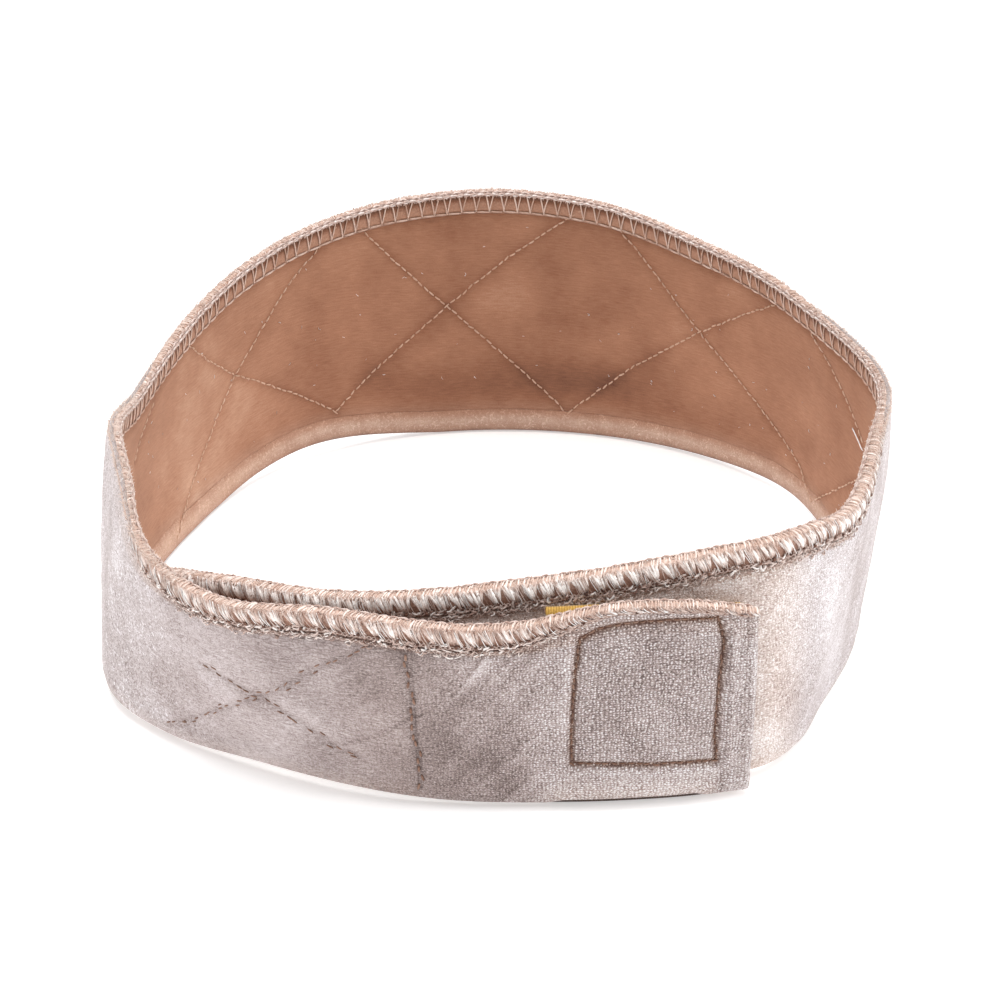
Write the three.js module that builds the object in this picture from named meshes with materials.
import * as THREE from "three";

// Driving sizes, in millimetres, and angles in degrees seen from above
const loopRadius = 90; // a radius share of 1 in the loop table
const frontHeight = 68; // a height share of 1 in the strip table
const edgeLift = 5; // a lift share of 1 in the strip table
const dentDepth = 1.6; // a depth share of 1 in the dent table
const strapEndAngle = -57; // where the outer strap ends
const stripTurn = 462; // from the outer strap's end to the inner strap's tip
const strapLength = 68; // each sewn-on strap, from its end to its seam
const velvetThickness = 1.2; // one layer of velvet
const pieceGap = 0.3; // clearance between two pieces that touch
const rollHeight = 6; // outer velvet turned under and up the inside
const rollBulge = 0.25; // how far the turned edge stands out
const rollFoot = 0.9; // half width of the flat that the edge stands on
const hemWidth = 1.8; // outer velvet turned in at each strap end
const hemStep = 0.25; // length over which the turned end thins out
const overlockHeight = 6.5; // stitched edge, from its rim to the top
const overlockThread = 0.65; // thickness of the thread layer
const overlockShoulder = 1.1; // height of the sloping shoulder at its top
const pinchRun = 1.3; // height over which the cloth thins below the stitches
const pinchShare = 0.7; // velvet thickness left under the stitches
const hookTapeThickness = 1.2;
const hookTapeLength = 32;
const hookTapeHeight = 36;
const hookTapeInset = 9.5; // from the outer strap's end
const hookTapeFoot = 0.6; // above the strap's lower edge
const loopTapeThickness = 1.2;
const loopTapeLength = 41;
const loopTapeHeight = 28;
const loopTapeInset = 1.5; // from below the outer strap's end
const loopTapeDrop = 0.4; // below the stitched edge
const strapSlack = 0.5; // extra room between the overlapped straps
const sectionCount = 106; // sections along the whole strip
const sectionRoom = 2; // least distance from a section to a strap's seam
const bendRun = 14; // extra length counted for each radian of bend, so that bends get more sections
const tapeSections = 10;
const wallShares = [0.2, 0.4, 0.6, 0.8]; // rows of points up a wall
const loopCentreY = -14; // the loop table's centre, from the head's middle
const loopCentreX = -4;

// Plan of the loop. Angle 0 is at the wearer's side on +X, and -270 is the middle of the front.
const loopTable = [
  { angle: 0, radius: 0.865 },
  { angle: -15, radius: 0.865 },
  { angle: -30, radius: 0.895 },
  { angle: -42, radius: 0.96 },
  { angle: -52, radius: 0.985 },
  { angle: -62, radius: 0.945 },
  { angle: -75, radius: 0.9 },
  { angle: -90, radius: 0.875 },
  { angle: -110, radius: 0.9 },
  { angle: -130, radius: 0.935 },
  { angle: -145, radius: 0.995 },
  { angle: -157, radius: 1.045 },
  { angle: -170, radius: 1.015 },
  { angle: -190, radius: 0.985 },
  { angle: -210, radius: 1.015 },
  { angle: -230, radius: 1.11 },
  { angle: -250, radius: 1.17 },
  { angle: -270, radius: 1.175 },
  { angle: -290, radius: 1.15 },
  { angle: -310, radius: 1.085 },
  { angle: -330, radius: 0.97 },
  { angle: -345, radius: 0.9 },
];

// The strip from the outer strap's end, round the front, to the inner strap's tip.
// lean is the slope outwards, belly the bulge at half height as a share of the height,
// and tuck counts how many strap spacings the strip lies inside the loop.
const stripTable = [
  { angle: -57, lean: 0.03, belly: 0.03, height: 0.635, lift: 0.2, tuck: 0 },
  { angle: -75, lean: 0.035, belly: 0.03, height: 0.66, lift: 0.25, tuck: 0 },
  { angle: -95, lean: 0.13, belly: 0.03, height: 0.645, lift: 0.25, tuck: 0 },
  { angle: -115, lean: 0.195, belly: 0.03, height: 0.665, lift: 0.5, tuck: 0 },
  { angle: -130, lean: 0.265, belly: 0.03, height: 0.64, lift: 0.5, tuck: 0 },
  { angle: -145, lean: 0.1, belly: 0.03, height: 0.67, lift: 0.25, tuck: 0 },
  { angle: -157, lean: -0.095, belly: 0.03, height: 0.73, lift: 0.4, tuck: 0 },
  { angle: -172, lean: -0.055, belly: 0.035, height: 0.765, lift: 0.55, tuck: 0 },
  { angle: -195, lean: 0.01, belly: 0.045, height: 0.705, lift: 0, tuck: 0 },
  { angle: -220, lean: 0.025, belly: 0.03, height: 0.79, lift: 0, tuck: 0 },
  { angle: -240, lean: -0.005, belly: 0.02, height: 0.865, lift: 0.65, tuck: 0 },
  { angle: -260, lean: -0.005, belly: 0.02, height: 0.97, lift: 0, tuck: 0 },
  { angle: -280, lean: -0.045, belly: 0.02, height: 0.965, lift: 0, tuck: 0 },
  { angle: -300, lean: -0.1, belly: 0.02, height: 0.885, lift: 0.1, tuck: 0 },
  { angle: -320, lean: -0.075, belly: 0.025, height: 0.81, lift: 0.35, tuck: 0 },
  { angle: -345, lean: 0.09, belly: 0.035, height: 0.775, lift: 0, tuck: 0.02 },
  { angle: -370, lean: 0.07, belly: 0.015, height: 0.775, lift: 0, tuck: 0.375 },
  { angle: -390, lean: 0.11, belly: 0.02, height: 0.735, lift: 0, tuck: 0.85 },
  { angle: -402, lean: 0.04, belly: 0.02, height: 0.775, lift: 0.15, tuck: 1 },
  { angle: -412, lean: 0, belly: 0.025, height: 0.785, lift: 0.25, tuck: 1 },
  { angle: -425, lean: -0.01, belly: 0.025, height: 0.765, lift: 0.25, tuck: 1 },
  { angle: -440, lean: 0, belly: 0.025, height: 0.74, lift: 0.1, tuck: 1 },
  { angle: -460, lean: 0.03, belly: 0.025, height: 0.7, lift: 0, tuck: 1 },
  { angle: -480, lean: 0.035, belly: 0.03, height: 0.64, lift: 0, tuck: 1 },
  { angle: -500, lean: 0, belly: 0.035, height: 0.56, lift: 0, tuck: 1.3 },
  { angle: -519, lean: -0.025, belly: 0.045, height: 0.43, lift: 0, tuck: 1.8 },
];

// Soft dents and puffs of the wall. level and tall are shares of the wall's height there.
const dentTable = [
  { angle: -99, wide: 5, level: 0.45, tall: 0.3, depth: -0.45 },
  { angle: -127, wide: 9, level: 0.4, tall: 0.22, depth: 0.5 },
  { angle: -165, wide: 7, level: 0.6, tall: 0.3, depth: -0.6 },
  { angle: -205, wide: 9, level: 0.35, tall: 0.25, depth: 0.5 },
  { angle: -345, wide: 8, level: 0.5, tall: 0.3, depth: 0.6 },
  { angle: -378, wide: 7, level: 0.35, tall: 0.25, depth: -0.5 },
  { angle: -412, wide: 8, level: 0.72, tall: 0.12, depth: -0.4 },
];

// Sizes that follow from the driving ones
const halfWall = pieceGap / 2 + velvetThickness;
const pinchedHalf = pieceGap / 2 + velvetThickness * pinchShare;
const slotHalf = pinchedHalf + pieceGap;
const overlockHalf = slotHalf + overlockThread;
const tapeStack = hookTapeThickness + loopTapeThickness + 3 * pieceGap;
const strapSpacing = 2 * halfWall + tapeStack + strapSlack;
const angleToRadians = Math.PI / 180;

// A smooth value between the rows of a table, with slopes taken from each row's neighbours
function smoothValue(rows, column, angle) {
  const last = rows.length - 1;
  let k = 0;
  while (k < last - 1 && angle < rows[k + 1].angle) k += 1;
  const slope = (i) => {
    const before = rows[Math.max(i - 1, 0)];
    const after = rows[Math.min(i + 1, last)];
    return (after[column] - before[column]) / (after.angle - before.angle);
  };
  const span = rows[k + 1].angle - rows[k].angle;
  const t = Math.min(Math.max((angle - rows[k].angle) / span, 0), 1);
  const from = rows[k][column];
  const to = rows[k + 1][column];
  const settle = t * t * (3 - 2 * t);
  const leave = t * (1 - t) * (1 - t) * span * slope(k);
  const arrive = t * t * (t - 1) * span * slope(k + 1);
  return from + (to - from) * settle + leave + arrive;
}

// The loop's rows carried on by a turn before and after, so that it closes smoothly
const wholeTurns = [360, 0, -360].flatMap((turn) =>
  loopTable.map((row) => ({ angle: row.angle + turn, radius: row.radius })),
);

function loopPoint(angle) {
  const wrapped = -((-angle) % 360);
  const radius = loopRadius * smoothValue(wholeTurns, "radius", wrapped);
  const turn = angle * angleToRadians;
  const x = loopCentreX + radius * Math.cos(turn);
  const y = loopCentreY + radius * Math.sin(turn);
  return new THREE.Vector2(x, y);
}

// The outward direction of the loop, square to its run
function loopNormal(angle) {
  const step = 0.5;
  const run = loopPoint(angle + step).sub(loopPoint(angle - step));
  return new THREE.Vector2(run.y, -run.x).normalize();
}

// Dents and puffs add up, each fading smoothly with its distance
function dentAt(angle, level) {
  const bump = (row) => {
    const across = (angle - row.angle) / row.wide;
    const up = (level - row.level) / row.tall;
    return row.depth * Math.exp(-across * across - up * up);
  };
  return dentDepth * dentTable.reduce((sum, row) => sum + bump(row), 0);
}

// The strip's place and shape at one angle
function stationAt(angle) {
  const row = (column) => smoothValue(stripTable, column, angle);
  const normal = loopNormal(angle);
  const middle = loopPoint(angle).addScaledVector(normal, -strapSpacing * row("tuck"));
  return {
    angle,
    middle,
    normal,
    lean: row("lean"),
    belly: row("belly"),
    height: frontHeight * row("height"),
    lift: Math.max(edgeLift * row("lift"), 0),
  };
}

// A point of the strip, by its distance out from the middle of the cloth and its height
function stripPoint(station, out, up) {
  const level = up / station.height;
  const bulge = 4 * station.belly * level * (1 - level);
  const shape = station.height * (station.lean * level + bulge);
  const dent = dentAt(station.angle, level) * Math.min(1, 8 * level * (1 - level));
  const place = station.middle.clone().addScaledVector(station.normal, out + shape + dent);
  return new THREE.Vector3(place.x, place.y, station.lift + up);
}

// Distances along the strip, measured on the middle line of its lower edge. The spread
// grows with the distance and with the bend, and evens out the sections.
const runSteps = 1848;
const runTable = [{ angle: strapEndAngle, distance: 0, spread: 0 }];
for (let i = 1; i <= runSteps; i += 1) {
  const before = runTable[i - 1];
  const angle = strapEndAngle - (stripTurn * i) / runSteps;
  const [from, to] = [stationAt(before.angle), stationAt(angle)];
  const step = to.middle.distanceTo(from.middle);
  const bend = Math.abs(to.normal.cross(from.normal));
  const distance = before.distance + step;
  runTable.push({ angle, distance, spread: before.spread + step + bendRun * bend });
}
const stripLength = runTable[runSteps].distance;

// Reads one column of the run table where another column reaches a value
function readRun(known, value, wanted) {
  const next = runTable.findIndex((row) => Math.abs(row[known]) >= Math.abs(value));
  const k = next < 0 ? runSteps : Math.max(next, 1);
  const [from, to] = [runTable[k - 1], runTable[k]];
  const share = (value - from[known]) / (to[known] - from[known]);
  return from[wanted] + (to[wanted] - from[wanted]) * share;
}

// A closed body through a row of sections that all have the same number of corners
function bodyThrough(sections, outline) {
  const corners = outline.length;
  const position = sections.flat().flatMap((point) => point.toArray());
  const faces = [];
  for (let i = 0; i + 1 < sections.length; i += 1) {
    for (let j = 0; j < corners; j += 1) {
      const a = i * corners + j;
      const b = i * corners + ((j + 1) % corners);
      faces.push(a, b, a + corners, b, b + corners, a + corners);
    }
  }
  const lastSection = (sections.length - 1) * corners;
  for (const [a, b, c] of THREE.ShapeUtils.triangulateShape(outline, [])) {
    faces.push(a, c, b, lastSection + a, lastSection + b, lastSection + c);
  }
  const geometry = new THREE.BufferGeometry();
  geometry.setAttribute("position", new THREE.Float32BufferAttribute(position, 3));
  geometry.setIndex(faces);
  geometry.computeVertexNormals();
  return geometry;
}

// Each section is a list of corners, [out from the middle, up from the edge], anticlockwise
function bodyAlong(distances, cornersAt) {
  const stations = distances.map((distance) => stationAt(readRun("distance", distance, "angle")));
  const corners = stations.map((station, i) => cornersAt(station, distances[i]));
  const sections = stations.map((station, i) =>
    corners[i].map(([out, up]) => stripPoint(station, out, up)),
  );
  const outline = corners[0].map(([out, up]) => new THREE.Vector2(out, up));
  return bodyThrough(sections, outline);
}

function evenSteps(start, length, count) {
  return Array.from({ length: count + 1 }, (_, i) => start + (length * i) / count);
}

// Where sections stand: at the turned ends, on both sides of the straps' seams and spread out in between
const hemEnd = hemWidth + hemStep;
const liningStart = hemEnd + pieceGap;
const spreadStart = readRun("distance", liningStart, "spread");
const spreadEnd = readRun("distance", stripLength - liningStart, "spread");
const hookSeam = strapLength;
const loopSeam = stripLength - strapLength;
const seams = [hookSeam, loopSeam];
const seamEdges = seams.flatMap((seam) => [seam - pieceGap / 2, seam + pieceGap / 2]);
const hemEdges = [0, hemWidth, hemEnd];
const evenDistances = evenSteps(spreadStart, spreadEnd - spreadStart, sectionCount)
  .map((spread) => readRun("spread", spread, "distance"))
  .filter((distance) => seams.every((seam) => Math.abs(distance - seam) > sectionRoom));
const clothDistances = [
  ...hemEdges,
  ...evenDistances,
  ...seamEdges,
  ...hemEdges.map((distance) => stripLength - distance),
].sort((a, b) => a - b);

// Sections of one piece of cloth, from one place on the strip to another
function clothBetween(start, end) {
  return clothDistances.filter((distance) => distance >= start && distance <= end);
}

// Levels up the wall: top of the cloth, start of the pinch and the rows between
function wallLevels(station) {
  const rim = station.height - overlockHeight;
  const pinchStart = rim - pinchRun;
  const rows = wallShares.map((share) => rollHeight + (pinchStart - rollHeight) * share);
  const top = station.height - overlockThread - pieceGap;
  return { rows, pinchStart, pinchEnd: rim - pieceGap, top };
}

// Outer velvet, with its lower edge turned under and the straps' ends turned in
function outerVelvetCorners(station, distance) {
  const fromEnd = Math.min(distance, stripLength - distance);
  const back = fromEnd <= hemWidth ? -halfWall : pieceGap / 2;
  const pinchedBack = fromEnd <= hemWidth ? -pinchedHalf : pieceGap / 2;
  const { rows, pinchStart, pinchEnd, top } = wallLevels(station);
  return [
    [rollFoot, 0],
    [halfWall + 0.4 * rollBulge, 0.14 * rollHeight],
    [halfWall + rollBulge, 0.4 * rollHeight],
    [halfWall, rollHeight],
    ...rows.map((up) => [halfWall, up]),
    [halfWall, pinchStart],
    [pinchedHalf, pinchEnd],
    [pinchedHalf, top],
    [pinchedBack, top],
    [pinchedBack, pinchEnd],
    [back, pinchStart],
    ...[...rows].reverse().map((up) => [back, up]),
    [back, rollHeight + pieceGap / 2],
    [-0.7 * halfWall, rollHeight],
    [-halfWall, 0.85 * rollHeight],
    [-halfWall, 0.14 * rollHeight],
    [-rollFoot, 0],
  ];
}

// Inner velvet, the grip face, which stands on the turned edge
function innerVelvetCorners(station) {
  const foot = rollHeight + 1.5 * pieceGap;
  const { rows, pinchStart, pinchEnd, top } = wallLevels(station);
  return [
    [-pieceGap / 2, foot],
    ...rows.map((up) => [-pieceGap / 2, up]),
    [-pieceGap / 2, pinchStart],
    [-pieceGap / 2, pinchEnd],
    [-pieceGap / 2, top],
    [-pinchedHalf, top],
    [-pinchedHalf, pinchEnd],
    [-halfWall, pinchStart],
    ...[...rows].reverse().map((up) => [-halfWall, up]),
    [-halfWall, foot],
  ];
}

// Overlock stitching, a thread layer wrapped over the top of both velvets
function overlockCorners(station) {
  const rim = station.height - overlockHeight;
  const shoulder = station.height - overlockShoulder;
  const crown = 0.55 * overlockHalf;
  const slotTop = station.height - overlockThread;
  return [
    [overlockHalf, rim],
    [overlockHalf, shoulder],
    [crown, station.height],
    [-crown, station.height],
    [-overlockHalf, shoulder],
    [-overlockHalf, rim],
    [-slotHalf, rim],
    [-slotHalf, slotTop],
    [slotHalf, slotTop],
    [slotHalf, rim],
  ];
}

// A flat tape against one face of the cloth, between two levels
function tapeCorners(near, far, foot, top) {
  const levels = [0, 0.25, 0.5, 0.75, 1].map((share) => foot + (top - foot) * share);
  const rise = levels.map((up) => [Math.max(near, far), up]);
  const fall = [...levels].reverse().map((up) => [Math.min(near, far), up]);
  return [...rise, ...fall];
}

// Hook tape on the inside of the outer strap's end
function hookTapeCorners() {
  const near = -(halfWall + pieceGap);
  return tapeCorners(near, near - hookTapeThickness, hookTapeFoot, hookTapeFoot + hookTapeHeight);
}

// Loop tape on the outside of the inner strap, facing the hooks
function loopTapeCorners(station) {
  const near = halfWall + pieceGap;
  const top = station.height - overlockHeight - loopTapeDrop;
  return tapeCorners(near, near + loopTapeThickness, top - loopTapeHeight, top);
}

const hookTapeDistances = evenSteps(hookTapeInset, hookTapeLength, tapeSections);
const facingStart = readRun("angle", strapEndAngle - 360, "distance");
const loopTapeStart = facingStart + loopTapeInset;
const loopTapeDistances = evenSteps(loopTapeStart, loopTapeLength, tapeSections);

// The linings stop short of the turned ends
const liningEnd = hemEnd + pieceGap / 2;

// The pieces, each with its own finish
const finishes = {
  outerVelvet: { color: 0xcdbab4, roughness: 0.62, metalness: 0 },
  innerVelvet: { color: 0xb08364, roughness: 0.8, metalness: 0 },
  overlockThread: { color: 0xdcc5b8, roughness: 0.55, metalness: 0 },
  hookTape: { color: 0x6b4a3c, roughness: 0.85, metalness: 0 },
  loopTape: { color: 0xd2a24a, roughness: 0.75, metalness: 0 },
};

function piece(name, geometry, finish) {
  const mesh = new THREE.Mesh(geometry, new THREE.MeshStandardMaterial(finish));
  mesh.name = name;
  return mesh;
}

function outerPiece(name, start, end) {
  return piece(name, bodyAlong(clothBetween(start, end), outerVelvetCorners), finishes.outerVelvet);
}

function liningPiece(name, start, end) {
  return piece(name, bodyAlong(clothBetween(start, end), innerVelvetCorners), finishes.innerVelvet);
}

const band = new THREE.Group();
band.add(
  outerPiece("hook_strap_velvet", 0, hookSeam),
  outerPiece("band_velvet", hookSeam, loopSeam),
  outerPiece("loop_strap_velvet", loopSeam, stripLength),
  liningPiece("hook_strap_lining", liningEnd, hookSeam),
  liningPiece("band_lining", hookSeam, loopSeam),
  liningPiece("loop_strap_lining", loopSeam, stripLength - liningEnd),
  piece("overlock_edge", bodyAlong(clothDistances, overlockCorners), finishes.overlockThread),
  piece("hook_tape", bodyAlong(hookTapeDistances, hookTapeCorners), finishes.hookTape),
  piece("loop_tape", bodyAlong(loopTapeDistances, loopTapeCorners), finishes.loopTape),
);

// The origin is under the middle of the band, on the surface that it stands on
const box = new THREE.Box3().setFromObject(band);
const middle = box.getCenter(new THREE.Vector3());
band.position.set(-middle.x, -middle.y, -box.min.z);

export default band;
